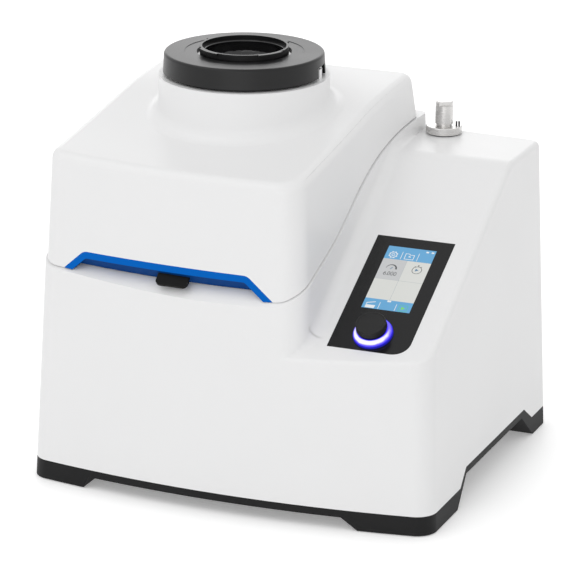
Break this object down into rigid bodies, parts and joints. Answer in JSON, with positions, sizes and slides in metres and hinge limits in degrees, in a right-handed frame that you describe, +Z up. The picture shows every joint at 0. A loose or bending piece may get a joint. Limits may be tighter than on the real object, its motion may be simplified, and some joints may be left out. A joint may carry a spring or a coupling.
{
  "type": "laboratory grinding mill",
  "caption": "Bench grinding mill with a hinged lid, a funnel hopper on a round collar, a sloped console with screen and push-and-turn knob, and a steel stand post.",
  "frame": {"origin": "middle of the outline on the bench, at the height of the feet", "axes": "+Z up, -Y the front with the handle and the console, +X to the right as seen from the front"},
  "size_m": [0.442, 0.3979, 0.4343],
  "materials": {
    "white_body": "satin white",
    "black_tray": "fine grain black",
    "handle_blue": "light blue face, darker underside",
    "black_satin": "satin black",
    "funnel_gloss": "polished black",
    "panel_glass": "black glass",
    "screen": "lit screen",
    "ring_light": "glowing ring",
    "brushed_steel": "turned steel",
    "stainless": "stainless steel",
    "shaft_steel": "ground steel",
    "screw_steel": "zinc-plated steel",
    "rubber": "black rubber",
    "cast_alloy": "cast and turned",
    "hinge_metal": "grey powder coat",
    "grey_liner": "light grey",
    "frame_steel": "grey powder coat",
    "dark_parts": "dark grey",
    "winding": "laminated core with copper winding",
    "magnet": "ground iron",
    "board": "green board"
  },
  "bodies": {
    "housing": {"base_tray": "black_tray", "rubber_feet": "rubber", "base_screws": "screw_steel", "housing_shell": "white_body", "panel_glass": "panel_glass", "light_ring": "ring_light", "display_module": "screen", "encoder": "dark_parts", "post_gasket": "rubber", "stand_post": "brushed_steel", "post_nut": "shaft_steel", "hinge_brackets": "hinge_metal", "hinge_pins": "brushed_steel", "lock_actuator": "dark_parts", "chamber_bowl": "stainless", "chamber_gasket": "rubber", "cassette": "stainless", "cassette_lid": "grey_liner", "ring_sieve": "stainless", "motor_housing": "cast_alloy", "motor_stator": "winding", "bearings": "shaft_steel", "motor_plate": "frame_steel", "rubber_mounts": "rubber", "motor_frame": "frame_steel", "mount_screws": "screw_steel", "frequency_inverter": "cast_alloy", "control_board": "board", "rear_panel": "frame_steel", "rear_screws": "screw_steel", "mains_inlet": "black_satin", "switch_frame": "black_satin", "fan_housing": "black_satin"},
    "lid": {"lid_shell": "white_body", "lid_handle": "handle_blue", "latch_tab": "black_satin", "lid_liner": "grey_liner", "liner_screws": "screw_steel", "feed_tube": "cast_alloy", "press_seal": "rubber", "hinge_leaves": "hinge_metal", "lid_striker": "shaft_steel"},
    "hopper": {"hopper_cap": "black_satin", "hopper_seal": "rubber", "hopper_funnel": "funnel_gloss", "bayonet_ring": "black_satin"},
    "spindle": {"spindle_shaft": "shaft_steel", "rotor": "stainless", "labyrinth_disc": "shaft_steel", "motor_rotor": "magnet"},
    "knob_shaft": {"encoder_shaft": "dark_parts"},
    "knob": {"knob": "black_satin"},
    "fan": {"fan_rotor": "black_satin"},
    "mains_rocker": {"switch_rocker": "dark_parts"},
    "fuse_drawer": {"fuse_drawer": "dark_parts"},
    "lock_hook": {"lock_hook": "shaft_steel"}
  },
  "joints": [
    {"name": "lid_hinge", "type": "hinge", "parent": "housing", "child": "lid", "pos_m": [0, 0.189, 0.3385], "axis": [-1, 0, 0], "range_deg": [0, 75]},
    {"name": "hopper_lift", "type": "slide", "parent": "lid", "child": "hopper", "axis": [0, 0, 1], "range_m": [0, 0.19]},
    {"name": "spindle_spin", "type": "hinge", "parent": "housing", "child": "spindle", "pos_m": [-0.0586, 0.0055, 0.19], "axis": [0, 0, 1], "continuous": true},
    {"name": "fan_spin", "type": "hinge", "parent": "housing", "child": "fan", "pos_m": [-0.0586, 0.174, 0.13], "axis": [0, 1, 0], "continuous": true},
    {"name": "knob_push", "type": "slide", "parent": "housing", "child": "knob_shaft", "axis": [0, 0.4741, -0.8805], "range_m": [0, 0.001], "stiffness_N_per_m": 1500, "springref_m": -0.0004},
    {"name": "knob_turn", "type": "hinge", "parent": "knob_shaft", "child": "knob", "pos_m": [0.1433, -0.14148, 0.19179], "axis": [0, -0.4741, 0.8805], "continuous": true},
    {"name": "mains_switch", "type": "hinge", "parent": "housing", "child": "mains_rocker", "pos_m": [0.04, 0.183, 0.09], "axis": [-1, 0, 0], "range_deg": [0, 16]},
    {"name": "fuse_slide", "type": "slide", "parent": "housing", "child": "fuse_drawer", "axis": [0, 1, 0], "range_m": [0, 0.012]},
    {"name": "lock_swing", "type": "hinge", "parent": "housing", "child": "lock_hook", "pos_m": [-0.059, -0.127, 0.214], "axis": [1, 0, 0], "range_deg": [0, 20]}
  ]
}
